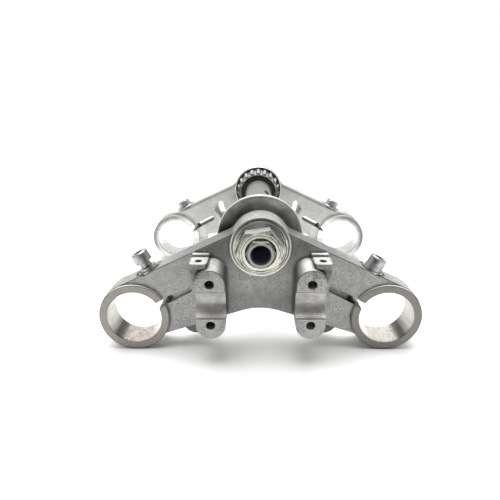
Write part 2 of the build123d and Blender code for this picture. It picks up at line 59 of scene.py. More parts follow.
WASHER_RADIUS = 0.020
NUT_HALF = 0.015
NUT_TURN = 8.5
STEM_BORE_RADIUS = 0.0071
KEY_RADIUS = 0.0088
DIMPLE_X = 0.0081
DIMPLE_Y = 0.131
DIMPLE_Z = 0.0108
COVER_RIM_START = 0.0322

# Floor and the dark card in front of the object
FLOOR_REACH = 6.0
CARD_REACH = 2.5
CARD_FRONT = -4.0
CARD_EDGE = -0.29

# The photo's camera, found from the circles of the rings, collars, cover and bearing
CAMERA_PLACE = (-0.0045, -0.30615, 0.1054)
CAMERA_PITCH = 0.33919
CAMERA_YAW = -0.00986
CAMERA_ROLL = 0.00298
FOCAL_PIXELS = 451.664
PHOTO_PIXELS = 500.0
SENSOR_WIDTH = 36.0

SIDES = ("left", "right")


class Shader:
    """A node material with short helpers for masks, noise and bumps."""

    def __init__(self, name):
        self.material = bpy.data.materials.new(name)
        self.material.use_nodes = True
        self.tree = self.material.node_tree
        self.bsdf = self.tree.nodes["Principled BSDF"]
        self.place = self.node("ShaderNodeTexCoord").outputs["Object"]
        split = self.node("ShaderNodeSeparateXYZ")
        self.feed(split.inputs[0], self.place)
        self.x, self.y, self.z = split.outputs
        normal = self.node("ShaderNodeSeparateXYZ")
        self.feed(normal.inputs[0], self.node("ShaderNodeTexCoord").outputs["Normal"])
        self.nx, self.ny, self.nz = normal.outputs

    def node(self, kind, **settings):
        made = self.tree.nodes.new(kind)
        for key, value in settings.items():
            setattr(made, key, value)
        return made

    def feed(self, socket, value):
        """Joins an output to the socket, or writes a constant on it."""
        if isinstance(value, bpy.types.NodeSocket):
            self.tree.links.new(value, socket)
        else:
            socket.default_value = value

    def calc(self, operation, *values):
        made = self.node("ShaderNodeMath", operation=operation)
        for socket, value in zip(made.inputs, values):
            self.feed(socket, value)
        return made.outputs[0]

    def chain(self, operation, values):
        result = values[0]
        for value in values[1:]:
            result = self.calc(operation, result, value)
        return result

    def times(self, *values):
        """Product of tones, or the part that all masks share."""
        return self.chain("MULTIPLY", values)

    def plus(self, *values):
        return self.chain("ADD", values)

    def either(self, *masks):
        return self.chain("MAXIMUM", masks)

    def ramp(self, value, start, end, low=0.0, high=1.0):
        """Smooth change from low to high as value goes from start to end."""
        made = self.node("ShaderNodeMapRange", interpolation_type="SMOOTHSTEP")
        for socket, entry in zip(made.inputs, (value, start, end, low, high)):
            self.feed(socket, entry)
        return made.outputs[0]

    def near(self, value, middle, half, soft):
        """1 where value is within half of middle, falling to 0 over soft."""
        away = self.calc("ABSOLUTE", self.calc("SUBTRACT", value, middle))
        return self.ramp(away, half, half + soft, 1.0, 0.0)

    def between(self, value, start, end, soft):
        """1 from start to end, falling to 0 over soft on both sides."""
        return self.near(value, (start + end) / 2, (end - start) / 2, soft)

    def radius(self, a, b, a0=0.0, b0=0.0):
        da = self.calc("SUBTRACT", a, a0)
        db = self.calc("SUBTRACT", b, b0)
        return self.calc("SQRT", self.plus(self.times(da, da), self.times(db, db)))

    def along(self, a, b, angle):
        """Distance along the direction at the angle from a towards b."""
        return self.plus(self.times(a, math.cos(angle)), self.times(b, math.sin(angle)))

    def vector(self, x, y, z):
        made = self.node("ShaderNodeCombineXYZ")
        for socket, value in zip(made.inputs, (x, y, z)):
            self.feed(socket, value)
        return made.outputs[0]

    def stretched(self, sx, sy, sz):
        """Object position with its own scale on each axis."""
        return self.vector(self.times(self.x, sx), self.times(self.y, sy), self.times(self.z, sz))

    def noise(self, scale, detail=3.0, roughness=0.55, place=None):
        made = self.node("ShaderNodeTexNoise")
        self.feed(made.inputs["Vector"], place or self.place)
        made.inputs["Scale"].default_value = scale
        made.inputs["Detail"].default_value = detail
        made.inputs["Roughness"].default_value = roughness
        return made.outputs[0]

    def cells(self, scale):
        made = self.node("ShaderNodeTexVoronoi")
        self.feed(made.inputs["Vector"], self.place)
        made.inputs["Scale"].default_value = scale
        return made.outputs["Distance"]

    def tool_marks(self, along, scale, detail=3.0):
        """Fine tool marks across the given coordinate."""
        place = self.vector(self.times(along, scale), self.times(self.x, 4.0), self.times(self.z, 4.0))
        return self.noise(1.0, detail, 0.6, place)

    def mix(self, factor, a, b):
        """Colour a where the factor is 0, colour b where it is 1."""
        made = self.node("ShaderNodeMix", data_type="RGBA")
        self.feed(made.inputs[0], factor)
        for socket, value in ((made.inputs[6], a), (made.inputs[7], b)):
            self.feed(socket, (*value, 1.0) if isinstance(value, tuple) else value)
        return made.outputs[2]

    def blend(self, factor, a, b):
        """Number a where the factor is 0, number b where it is 1."""
        made = self.node("ShaderNodeMix", data_type="FLOAT")
        self.feed(made.inputs[0], factor)
        self.feed(made.inputs[2], a)
        self.feed(made.inputs[3], b)
        return made.outputs[0]

    def scale(self, colour, factor):
        made = self.node("ShaderNodeVectorMath", operation="SCALE")
        self.feed(made.inputs[0], colour)
        self.feed(made.inputs["Scale"], factor)
        return made.outputs[0]

    def dim(self, colour, mask, factor):
        """The colour times the factor where the mask is 1."""
        return self.scale(colour, self.blend(mask, 1.0, factor))

    def tint(self, colour, mask, share, other):
        """Lays a share of another colour over the masked part."""
        return self.mix(self.times(mask, share), colour, other)

    def slanted(self):
        """1 on faces that look forward at a slant, as chamfers and rounded edges do."""
        forward = self.times(self.ny, -1.0)
        return self.times(self.ramp(forward, 0.25, 0.4), self.ramp(forward, 0.93, 0.985, 1.0, 0.0))

    def crevice(self, distance, low):
        """Painted shade: 1 in the open, down to low in corners and gaps."""
        made = self.node("ShaderNodeAmbientOcclusion", samples=8)
        made.inputs["Distance"].default_value = distance
        return self.ramp(made.outputs["AO"], 0.42, 0.92, low, 1.0)

    def bump(self, height, distance, strength):
        made = self.node("ShaderNodeBump")
        self.feed(made.inputs["Height"], height)
        made.inputs["Distance"].default_value = distance
        made.inputs["Strength"].default_value = strength
        self.feed(self.bsdf.inputs["Normal"], made.outputs[0])

    def finish(self, colour, roughness, metallic):
        self.feed(self.bsdf.inputs["Base Color"], colour)
        self.feed(self.bsdf.inputs["Roughness"], roughness)
        self.feed(self.bsdf.inputs["Metallic"], metallic)
        return self.material


class YokeShader(Shader):
    """Cast aluminium with machined collars, fork bores and sawn slots, as on both yokes."""

    def __init__(self, name, collar_front, grain):
        super().__init__(name)
        self.across = self.calc("ABSOLUTE", self.x)
        side = self.calc("SUBTRACT", self.across, FORK_X)
        self.up = self.calc("SUBTRACT", self.z, FORK_Z)
        self.reach = self.radius(side, self.up)
        # Angle round the fork in degrees, counted from the outer side.
        self.turn = self.calc("DEGREES", self.calc("ARCTAN2", self.up, side))
        self.axle = self.radius(self.x, self.z)
        self.right = self.ramp(self.x, -0.01, 0.01)
        self.tone, self.height = self.cast_grain(grain)
        self.lines = self.tool_marks(self.y, 2500)
        self.rings = self.tool_marks(self.reach, 3500)
        self.scratches = self.noise(1.0, 4.0, 0.7, self.stretched(620, 90, 620))
        self.bore = self.ramp(self.reach, FORK_RADIUS + 0.0002, FORK_RADIUS + 0.0006, 1.0, 0.0)
        self.collar = self.times(
            self.ramp(self.y, collar_front + 0.0006, collar_front + 0.0012, 1.0, 0.0),
            self.ramp(self.reach, COLLAR_RADIUS + 0.0002, COLLAR_RADIUS + 0.0005, 1.0, 0.0))
        self.wall = self.times(
            self.ramp(self.reach, COLLAR_RADIUS + 0.0005, COLLAR_RADIUS + 0.0002),
            self.ramp(self.reach, COLLAR_RADIUS - 0.0009, COLLAR_RADIUS - 0.0006),
            self.ramp(self.y, collar_front + 0.0024, collar_front + 0.0018))

    def cast_grain(self, strength):
        """Sand texture, mottling and pits of a die casting: brightness factor and height."""
        cloud = self.noise(38, 3.0, 0.6)
        mottle = self.noise(190, 4.0, 0.62)
        grain = self.noise(760, 3.0, 0.7)
        sand = self.noise(1900, 2.0, 0.7)
        pitted = self.ramp(self.noise(150, 2.0), 0.54, 0.62)
        even = self.blend(pitted, 1.0, self.ramp(self.cells(260), 0.05, 0.20))
        rough_spots = self.ramp(self.noise(60, 2.0), 0.36, 0.62, 0.25, 1.0)
        speckle = self.plus(self.times(rough_spots, self.ramp(grain, 0.30, 0.70, -0.32, 0.30)),
                            self.times(rough_spots, self.ramp(sand, 0.35, 0.65, -0.10, 0.09)),
                            self.ramp(mottle, 0.28, 0.72, -0.13, 0.11))
        tone = self.plus(self.ramp(cloud, 0.3, 0.7, 0.90, 1.06), self.times(speckle, strength))
        tone = self.times(tone, self.ramp(even, 0.0, 1.0, 1.0 - 0.42 * strength, 1.0))
        height = self.plus(self.times(sand, 0.35), self.times(grain, 0.9), self.times(mottle, 0.8), even)
        return tone, height

    def base(self, cast_colour, collar_colour, right_collar_shade):
        """Casting with its machined collars; the last argument darkens the right collar as painted shade."""
        colour = self.scale(cast_colour, self.tone)
        collar_tone = self.times(self.ramp(self.rings, 0.25, 0.75, 0.84, 1.10),
                                 self.ramp(self.noise(420), 0.3, 0.7, 0.90, 1.06),
                                 self.blend(self.right, 1.0, right_collar_shade))
        return self.mix(self.collar, colour, self.scale(collar_colour, collar_tone))

    def bore_tone(self):
        return self.times(self.ramp(self.lines, 0.2, 0.8, 0.92, 1.05),
                          self.ramp(self.scratches, 0.35, 0.6, 0.80, 1.06))

    def corners(self, colour, low, wall_factor):
        """Paints shade into corners and gaps near the front; the collar's wall takes its own factor."""
        crevice = self.either(self.crevice(0.0032, low), self.ramp(self.y, 0.0, 0.0015, 0.0, 0.9))
        return self.scale(colour, self.blend(self.wall, crevice, wall_factor))

    def slots(self, colour, saw_colour):
        """Sawn walls of the pinch slots: mask, and colour with painted shade on the right slot and darker
        near the front.
        """
        inward = self.calc("SUBTRACT", FORK_X, self.across)
        off = self.along(inward, self.up, PINCH_ANGLE + math.pi / 2)
        along = self.along(inward, self.up, PINCH_ANGLE)
        saw = self.times(self.near(off, 0.0, SLOT_HALF + 0.00015, 0.0001),
                         self.between(along, FORK_RADIUS, SLOT_END + 0.0005, 0.0003),
                         self.ramp(self.calc("ABSOLUTE", self.ny), 0.3, 0.5, 1.0, 0.0))
        # Darker near the front; the right slot darker still as painted shade.
        tone = self.times(self.ramp(self.tool_marks(self.x, 1100), 0.38, 0.6, 0.55, 1.0),
                          self.ramp(self.y, 0.002, 0.007, 0.22, 1.0),
                          self.blend(self.right, 1.0, self.ramp(self.reach, 0.0335, 0.0365, 0.16, 0.52)))
        return saw, self.mix(saw, colour, self.scale(saw_colour, tone))

    def complete(self, colour, saw, shine, satin=0.0):
        """Gloss and relief: shine marks machined faces, satin the worn bar seats."""
        cast_roughness = self.ramp(self.height, 1.0, 2.2, 0.62, 0.48)
        roughness = self.blend(shine, self.blend(satin, cast_roughness, 0.5), 0.33)
        metallic = self.blend(saw, self.blend(shine, self.blend(satin, 0.45, 0.55), 0.82), 0.1)
        relief = self.blend(satin, self.height, self.times(self.scratches, 0.6))
        self.bump(self.blend(shine, relief, self.times(self.lines, 0.25)), 0.00011, 0.9)
        return self.finish(colour, roughness, metallic)


def top_bores(s, colour):
    """Fork bores of the top yoke: a painted dark reflection, lighter towards the bottom, specks, and stains
    on the left bore's floor.
    """
    painted_reflection_band = s.near(s.turn, -50, 4, 11)
    specks = s.times(s.ramp(s.cells(330), 0.12, 0.24, 1.0, 0.0), s.ramp(s.noise(190, 2.0), 0.44, 0.52),
                     s.near(s.turn, -88, 34, 18))
    # A painted dark reflection in a stripe round the bore, and the bore lighter towards its bottom.
    tone = s.times(s.bore_tone(), s.blend(painted_reflection_band, 1.0, 0.38), s.ramp(s.turn, -72, -50, 1.28, 0.80),
                   s.blend(specks, 1.0, 0.2))
    left = s.ramp(s.x, 0.01, -0.01)
    left_floor = s.times(s.near(s.turn, -95, 34, 30), left)
    scribble = s.times(s.near(s.noise(115, 3.0, 0.7), 0.5, 0.012, 0.02), s.near(s.turn, -95, 30, 12), left)
    metal = s.tint((0.66, 0.635, 0.595), left_floor, 0.5, (0.52, 0.43, 0.38))
    metal = s.tint(metal, scribble, 0.6, (0.30, 0.21, 0.18))
    return s.mix(s.bore, colour, s.scale(metal, tone))


def bar_seats(s, colour):
    """Half round seats of the handlebar: mask, and colour with tool marks along the bar, painted shade low
    down and a painted highlight near the top.
    """
    reach = s.radius(s.y, s.z, BAR_Y, BAR_Z)
    seat = s.times(s.ramp(reach, BAR_RADIUS + 0.00005, BAR_RADIUS + 0.0003, 1.0, 0.0),
                   s.near(s.across, RISER_X, RISER_HALF, 0.0003))
    streaks = s.noise(1.0, 4.0, 0.7, s.stretched(90, 620, 620))
    upper_right = s.times(s.right, s.ramp(s.z, -0.032, -0.026))
    # Painted shade towards the seat's bottom, a lighter upper part on the right seat, and a painted highlight
    # stripe near the top.
    tone = s.times(s.ramp(s.tool_marks(s.z, 1300), 0.3, 0.7, 0.90, 1.07),
                   s.ramp(streaks, 0.3, 0.7, 0.90, 1.06),
                   s.ramp(s.z, -0.0450, -0.0405, 0.40, 1.0),
                   s.blend(upper_right, 1.0, 1.12),
                   s.blend(s.near(s.z, -0.0284, 0.0010, 0.0012), 1.0, 1.22))
    colour = s.mix(seat, colour, s.scale((0.62, 0.61, 0.585), s.times(tone, s.grime)))
    return seat, colour


def lugs(s, colour):
    """Machined lug faces, painted shade in the groove behind them and on their walls, the right face darker
    as painted shade: mask and colour.
    """
    face = s.times(s.near(s.z, LUG_LEVEL, 0.0003, 0.0002), s.near(s.across, LUG_X, LUG_REACH, 0.0003),
                   s.ramp(s.y, -0.004, -0.003, 1.0, 0.0))
    groove = s.times(s.near(s.y, -0.0075, 0.0026, 0.0002), s.near(s.z, LUG_GROOVE_LEVEL, 0.0004, 0.0003),
                     s.near(s.across, LUG_X, LUG_REACH, 0.0003))
    walls = s.times(s.near(s.across, LUG_X, LUG_REACH + 0.0008, 0.0003), s.near(s.z, -0.0095, 0.0044, 0.0004),
                    s.ramp(s.y, -0.004, -0.006), s.ramp(s.nz, 0.8, 0.6))
    # The right lug's face is darker: painted shade.
    tone = s.times(s.grime, s.ramp(s.rings, 0.2, 0.8, 0.93, 1.05), s.blend(s.right, 1.0, 0.84))
    colour = s.mix(face, colour, s.scale((0.50, 0.50, 0.485), tone))
    # Painted shade in the groove and on the walls.
    colour = s.tint(colour, groove, 0.6, (0.16, 0.16, 0.155))
    return face, s.dim(colour, walls, 0.72)


def risers(s, colour):
    """Painted light and shade on the riser sides, flecks, a painted dark reflection on the rounded edges of
    their fronts, worn rims of the seats.
    """
    riser = s.times(s.near(s.across, RISER_X, RISER_HALF + 0.002, 0.0006), s.ramp(s.y, -0.001, -0.002),
                    s.ramp(s.z, 0.0, -0.003))
    outward = s.times(s.nx, s.calc("SIGN", s.x))
    # Painted light and shade: lighter on top, darker on the sides towards the stem, the right riser lighter.
    light = s.times(s.ramp(s.nz, 0.25, 0.95, 0.30, 1.75), s.ramp(outward, -0.75, -0.35, 0.55, 1.0),
                    s.blend(s.right, 1.0, 1.25))
    colour = s.dim(colour, s.times(riser, s.ramp(s.ny, -0.8, -0.5)), light)
    flecks = s.times(riser, s.ramp(s.ny, -0.9, -0.97), s.ramp(s.noise(620), 0.60, 0.68),
                     s.ramp(s.noise(90, 2.0), 0.45, 0.55))
    colour = s.tint(colour, flecks, 0.6, (0.85, 0.85, 0.83))
    # Painted dark reflection on the rounded front edges.
    edge = s.times(s.slanted(), s.ramp(s.y, -0.0245, -0.0250))
    colour = s.tint(colour, edge, s.ramp(s.nz, -0.1, 0.3), (0.16, 0.16, 0.155))
    reach = s.radius(s.y, s.z, BAR_Y, BAR_Z)
    rim = s.times(s.ramp(reach, BAR_RADIUS + 0.00008, BAR_RADIUS + 0.00015),
                  s.ramp(reach, BAR_RADIUS + 0.0005, BAR_RADIUS + 0.0008, 1.0, 0.0),
                  s.near(s.across, RISER_X, RISER_HALF + 0.001, 0.0002),
                  s.ramp(s.noise(330, 3.0, 0.65), 0.42, 0.60))
    return s.tint(colour, rim, 0.7, (0.86, 0.86, 0.84))


def stem_boss(s, colour):
    """Turned face of the boss round the stem: mask, and colour with the washer's painted shadow and painted
    shade on its upper part.
    """
    boss = s.times(s.ramp(s.axle, BOSS_RADIUS + 0.0001, BOSS_RADIUS + 0.0003, 1.0, 0.0),
                   s.ramp(s.y, -0.0012, -0.0006, 1.0, 0.0))
    rings = s.ramp(s.tool_marks(s.axle, 1500), 0.32, 0.62, 0.66, 1.10)
    colour = s.mix(boss, colour, s.scale((0.72, 0.71, 0.67), rings))
    # Painted shadow of the washer's edge on the boss.
    washer_shadow = s.times(boss, s.near(s.axle, WASHER_RADIUS + 0.0003, 0.0003, 0.0004), s.ramp(s.z, 0.013, 0.007))
    colour = s.tint(colour, washer_shadow, 0.85, (0.075, 0.073, 0.062))
    # Painted shade on the boss's upper part.
    upper = s.times(boss, s.ramp(s.z, 0.006, 0.013), s.ramp(s.axle, 0.0219, 0.0214))
    boss_shade_colour = s.scale((0.30, 0.29, 0.28), s.ramp(s.noise(420), 0.3, 0.7, 0.75, 1.2))
    return boss, s.tint(colour, upper, 0.85, boss_shade_colour)


def web_shade(s, colour):
    """Painted dark reflection on the casting's rounded outer edge, and painted soft shade on the web near the
    boss and over the arch.
    """
    # Painted dark reflection on the rounded upper edges of the front face.
    edge = s.times(s.slanted(), s.ramp(s.nz, 0.1, 0.4), s.near(s.y, 0.0004, 0.0012, 0.0003),
                   s.ramp(s.reach, COLLAR_RADIUS - 0.0002, COLLAR_RADIUS + 0.0004))
    colour = s.dim(colour, edge, 0.42)
    # Painted shade near the boss and over the arch.
    near_boss = s.blend(s.ramp(s.z, -0.014, -0.002), s.ramp(s.axle, 0.022, 0.034, 0.90, 1.0),
                        s.ramp(s.axle, 0.030, 0.050, 0.60, 1.0))
    arch = s.times(s.ramp(s.z, -0.028, -0.042), s.near(s.x, 0.0, 0.022, 0.012))
    web = s.times(s.ramp(s.ny, -0.8, -0.95), s.ramp(s.axle, BOSS_RADIUS + 0.0002, BOSS_RADIUS + 0.0006))
    return s.dim(colour, web, s.times(near_boss, s.blend(arch, 1.0, 0.72)))


def flanks(s, colour):
    """Upper sides of the arms with painted shade towards the middle, a painted highlight on the top of the
    boss, and painted shade on the bosses underneath.
    """
    flank = s.times(s.ramp(s.nz, 0.6, 0.8), s.ramp(s.y, 0.0, 0.001), s.ramp(s.z, -0.045, -0.04))
    # Painted shade: the flanks darker towards the middle.
    colour = s.dim(colour, flank, s.ramp(s.across, 0.045, 0.085, 0.54, 1.02))
    # Painted highlight on the top of the boss.
    boss_top_highlight = s.times(s.ramp(s.axle, BOSS_RADIUS - 0.0004, BOSS_RADIUS + 0.0001),
                   s.ramp(s.axle, 0.045, 0.026), s.ramp(s.nz, 0.55, 0.85), s.ramp(s.z, 0.010, 0.018))
    colour = s.tint(colour, boss_top_highlight, 0.6, s.scale((0.92, 0.92, 0.90), s.tone))
    # Painted shade on the bosses underneath.
    reach = s.radius(s.across, s.z, UNDER_BOSS_X, UNDER_BOSS_Z)
    under_boss = s.times(s.ramp(reach, UNDER_BOSS_RADIUS + 0.0003, UNDER_BOSS_RADIUS + 0.0001),
                         s.ramp(s.y, 0.0062, 0.0066), s.ramp(s.y, 0.018, 0.012))
    return s.dim(colour, under_boss, 0.50)


def top_yoke_metal():
    s = YokeShader("cast_top", TOP_COLLAR_FRONT, 1.0)
    s.grime = s.ramp(s.noise(210, 4.0, 0.65), 0.35, 0.65, 0.82, 1.10)
    # 0.76 darkens the right collar: painted shade.
    colour = s.base((0.485, 0.484, 0.471), (0.27, 0.256, 0.24), 0.76)
    colour = top_bores(s, colour)
    seat, colour = bar_seats(s, colour)
    lug, colour = lugs(s, colour)
    colour = risers(s, colour)
    boss, colour = stem_boss(s, colour)
    colour = web_shade(s, colour)
    colour = flanks(s, colour)
    # Painted shade in corners and gaps, and on the downward part of the collars' wall.
    colour = s.corners(colour, 0.40, s.ramp(s.nz, -0.2, 0.3, 0.5, 1.0))
    # Painted light on the upward part of the collars' wall.
    colour = s.mix(s.times(s.wall, s.ramp(s.nz, 0.15, 0.6)), colour, (0.93, 0.93, 0.91))
    # The slot walls' near white colour is painted light.
    saw, colour = s.slots(colour, (0.98, 0.96, 0.90))
    return s.complete(colour, saw, s.either(s.collar, s.bore, lug, boss), seat)


def lower_bores(s, colour):
    """Bright fork bores of the lower yoke with a few dark marks low down."""
    marks = s.times(s.ramp(s.cells(210), 0.16, 0.3, 1.0, 0.0), s.ramp(s.noise(90, 2.0), 0.52, 0.58),
                    s.near(s.turn, -115, 35, 12))
    tone = s.times(s.bore_tone(), s.blend(marks, 1.0, 0.25))
    return s.mix(s.bore, colour, s.scale((0.80, 0.795, 0.78), tone))


def lower_web(s, colour):
    """Painted shade on the rear, a smudge by the bearing, painted light and shade round the rings and on
    rounded edges.
    """
    # Painted shade on faces turned to the rear.
    colour = s.scale(colour, s.ramp(s.ny, 0.2, 0.7, 1.0, 0.58))
    smudge = s.times(s.ramp(s.axle, 0.036, 0.027), s.ramp(s.ny, -0.6, -0.8),
                     s.ramp(s.noise(95, 4.0, 0.6), 0.40, 0.62))
    colour = s.tint(colour, smudge, 0.55, (0.36, 0.355, 0.32))
    # Painted light near the top of the rings.
    inner = s.times(s.ramp(s.reach, 0.036, 0.033), s.ramp(s.turn, 70, 100))
    colour = s.dim(colour, inner, 1.10)
    # Painted shade on the rounded edges, and darker round the rings' lower outer side.
    rounding = s.times(s.slanted(), s.ramp(s.nz, -0.2, 0.2), s.calc("SUBTRACT", 1.0, inner))
    colour = s.dim(colour, rounding, 0.62)
    colour = s.scale(colour, s.ramp(s.turn, -110, -60, 0.88, 1.0))
    # Painted shade outlining the rings' outer edge.
    wavy = s.plus(s.reach, s.ramp(s.noise(120, 2.0), 0.3, 0.7, -0.0005, 0.0005))
    outline = s.times(s.ramp(wavy, 0.0200, 0.0248), s.ramp(s.reach, 0.0268, 0.0258, 0.35, 1.0),
                      s.ramp(s.reach, 0.0290, 0.0275), s.near(s.turn, 38, 48, 45))
    colour = s.dim(colour, outline, 0.34)
    # Painted shade on the right ring.
    right_ring_shade = s.times(s.right, s.ramp(s.reach, FORK_RADIUS, FORK_RADIUS + 0.0007),
                         s.ramp(s.reach, 0.032, 0.028), s.near(s.turn, 11.46, 57.3, 28.65))
    return s.dim(colour, right_ring_shade, 0.86)


def lower_yoke_metal():
    s = YokeShader("cast_lower", LOWER_COLLAR_FRONT, 0.45)
    colour = s.base((0.84, 0.84, 0.82), (0.80, 0.80, 0.785), 1.0)
    colour = lower_bores(s, colour)
    colour = lower_web(s, colour)
    # Painted shade in corners and gaps.
    colour = s.corners(colour, 0.85, 1.0)
    # The slot walls' dark colour is painted shade.
    saw, colour = s.slots(colour, (0.30, 0.295, 0.27))
    root = s.times(s.ramp(s.axle, ROOT_RING_RADIUS + 0.0001, ROOT_RING_RADIUS + 0.0003, 1.0, 0.0),
                   s.ramp(s.y, ROOT_RING_BACK - 0.0003, ROOT_RING_BACK + 0.0003))
    return s.complete(colour, saw, s.either(s.collar, s.bore, root))


def screw_thread(s):
    """Mask of the pinch screws' threaded length, and the thread's wave along it."""
    along = s.along(s.z, s.calc("ABSOLUTE", s.x), -PINCH_ANGLE)
    middle = FORK_Z * math.cos(PINCH_ANGLE) - FORK_X * math.sin(PINCH_ANGLE)
    wave = s.calc("DIVIDE", s.calc("PINGPONG", along, THREAD_PITCH / 2), THREAD_PITCH / 2)
    return s.between(along, middle - 0.020, middle + 0.012, 0.0003), wave


def zinc(name, colour, threaded=False):
    """Bright zinc plate with faint blotches, painted shade in corners and, on screws, a thread with painted
    shade in its grooves.
    """
    s = Shader(name)
    # Painted shade in corners.
    tone = s.times(s.ramp(s.noise(300, 4.0, 0.6), 0.3, 0.7, 0.70, 1.12),
                   s.ramp(s.noise(1300, 2.0), 0.3, 0.7, 0.92, 1.05), s.crevice(0.003, 0.75))
    height = s.noise(500)
    if threaded:
        thread, wave = screw_thread(s)
        # Painted shade in the thread's grooves.
        tone = s.times(tone, s.blend(thread, 1.0, s.ramp(wave, 0.15, 0.85, 0.10, 0.75)))
        height = s.plus(height, s.times(thread, wave, 7.0))
    s.bump(height, 0.00006, 0.8)
    return s.finish(s.scale(colour, tone), s.ramp(s.noise(200, 2.0), 0.3, 0.7, 0.28, 0.44), 0.95)


def hexagon_reach(s):
    """Distance from the steering axis to the side of the nut's hexagon through the point."""
    angles = [math.radians(30 + 60 * index + NUT_TURN) for index in range(3)]
    return s.either(*[s.calc("ABSOLUTE", s.along(s.x, s.z, angle)) for angle in angles])


def washer_places(s, colour, tone):
    """Painted dark reflection on the upper part, painted shadow round the nut's base and at the rim, painted
    shade on the upper side.
    """
    # Painted dark reflection on the upper part.
    upper = s.ramp(s.z, 0.004, 0.014)
    tone = s.blend(s.times(upper, 0.7), tone, 0.85)
    colour = s.tint(colour, upper, 0.80, (0.25, 0.243, 0.23))
    # Painted shadow round the base of the nut.
    nut_foot_shadow = s.near(hexagon_reach(s), NUT_HALF + 0.0004, 0.0004, 0.0007)
    colour = s.tint(colour, nut_foot_shadow, s.ramp(s.z, 0.013, 0.010, 0.0, 0.6), (0.075, 0.075, 0.06))
    # Painted shadow at the rim.
    rim = s.times(s.near(s.axle, WASHER_RADIUS - 0.0001, 0.00025, 0.0003), s.ramp(s.z, 0.013, 0.007))
    colour = s.tint(colour, rim, 0.6, (0.10, 0.098, 0.085))
    # Painted shade on the upper part of the outer side.
    side = s.times(s.ramp(s.ny, -0.95, -0.8), s.ramp(s.z, -0.004, 0.004),
                   s.ramp(s.calc("ABSOLUTE", s.x), 0.019, 0.009, 0.25, 1.0))
    return s.mix(side, colour, (0.16, 0.157, 0.15)), tone


def nut_places(s, colour, tone):
    """Painted dark reflection with speckles on the crown, a painted highlight ring, painted light on the
    face's left and lower part, greyer flats with painted light on the upper ones.
    """
    # Painted dark reflection with random speckles on the upper crown.
    crown = s.times(s.face, s.ramp(s.axle, 0.0146, 0.0152), s.ramp(s.z, 0.0, 0.006))
    speckled = s.scale((0.20, 0.22, 0.19), s.ramp(s.noise(700, 2.0), 0.35, 0.6, 0.4, 2.4))
    colour = s.tint(colour, crown, 0.8, speckled)
    # Painted highlight ring.
    ring_highlight = s.near(s.axle, 0.0121, 0.0010, 0.0005)
    tone = s.either(tone, s.times(ring_highlight, s.ramp(s.wear, 0.3, 0.6, 0.50, 0.85)))
    # Painted light on the left and lower part of the face.
    left = s.times(s.ramp(s.x, -0.004, -0.010), s.near(s.z, 0.0, 0.008, 0.005))
    tone = s.times(tone, s.ramp(s.calc("SUBTRACT", s.x, s.z), 0.008, 0.016, 1.30, 1.15),
                   s.blend(left, 1.0, 1.22))
    # Greyer flats, lighter where they face up: painted light.
    flats = s.scale((0.66, 0.71, 0.68), s.ramp(s.nz, 0.6, 0.85, 0.8, 1.08))
    return s.mix(s.face, flats, colour), tone


def turned_zinc(name, add_places, groove_radii):
    """Nut or washer on the steering axis: ring shaped tool marks, dark rings at the grooves, worn plate."""
    s = Shader(name)
    s.axle = s.radius(s.x, s.z)
    s.wear = s.noise(240, 4.0, 0.65)
    s.face = s.ramp(s.ny, -0.5, -0.75)
    broad = s.tool_marks(s.axle, 820, 1.5)
    fine = s.tool_marks(s.axle, 2600, 2.0)
    smooth = s.ramp(s.noise(95, 3.0, 0.6), 0.40, 0.60)
    ragged = s.ramp(s.plus(broad, s.ramp(s.wear, 0.3, 0.7, -0.06, 0.06)), 0.37, 0.51, 0.30, 1.0)
    marks = s.blend(smooth, ragged, s.ramp(broad, 0.3, 0.6, 0.8, 1.08))
    tone = s.times(s.blend(s.face, 1.0, marks), s.ramp(fine, 0.3, 0.7, 0.82, 1.12),
                   s.ramp(s.wear, 0.3, 0.7, 0.86, 1.08))
    colour = s.mix(s.ramp(s.wear, 0.35, 0.7), (0.80, 0.78, 0.68), (0.97, 0.96, 0.87))
    colour, tone = add_places(s, colour, tone)
    wavy = s.plus(s.axle, s.ramp(s.noise(110, 2.0), 0.3, 0.7, -0.0004, 0.0004))
    grooves = s.either(*[s.near(wavy, radius, 0.00014, 0.00036) for radius in groove_radii])
    grooves = s.times(grooves, s.face, s.ramp(s.noise(75, 2.0), 0.32, 0.46, 0.2, 1.0))
    tone = s.calc("MINIMUM", s.times(tone, 1.62, s.blend(grooves, 1.0, 0.13)), 1.12)
    height = s.plus(s.times(broad, 2.2), s.times(fine, 0.6), s.times(grooves, -1.5))
    s.bump(height, 0.00012, 0.8)
    return s.finish(s.scale(colour, tone), s.ramp(s.wear, 0.3, 0.7, 0.26, 0.40), s.blend(s.face, 0.55, 0.48))


def ground_steel(name, colour, roughness):
    s = Shader(name)
    lines = s.tool_marks(s.y, 1800)
    tone = s.times(s.ramp(lines, 0.25, 0.75, 0.93, 1.05), s.ramp(s.noise(90), 0.3, 0.7, 0.94, 1.04))
    s.bump(lines, 0.00003, 0.7)
    uneven = s.ramp(s.noise(150, 2.0), 0.3, 0.7, roughness - 0.06, roughness + 0.06)
    return s.finish(s.scale(colour, tone), uneven, 0.9)


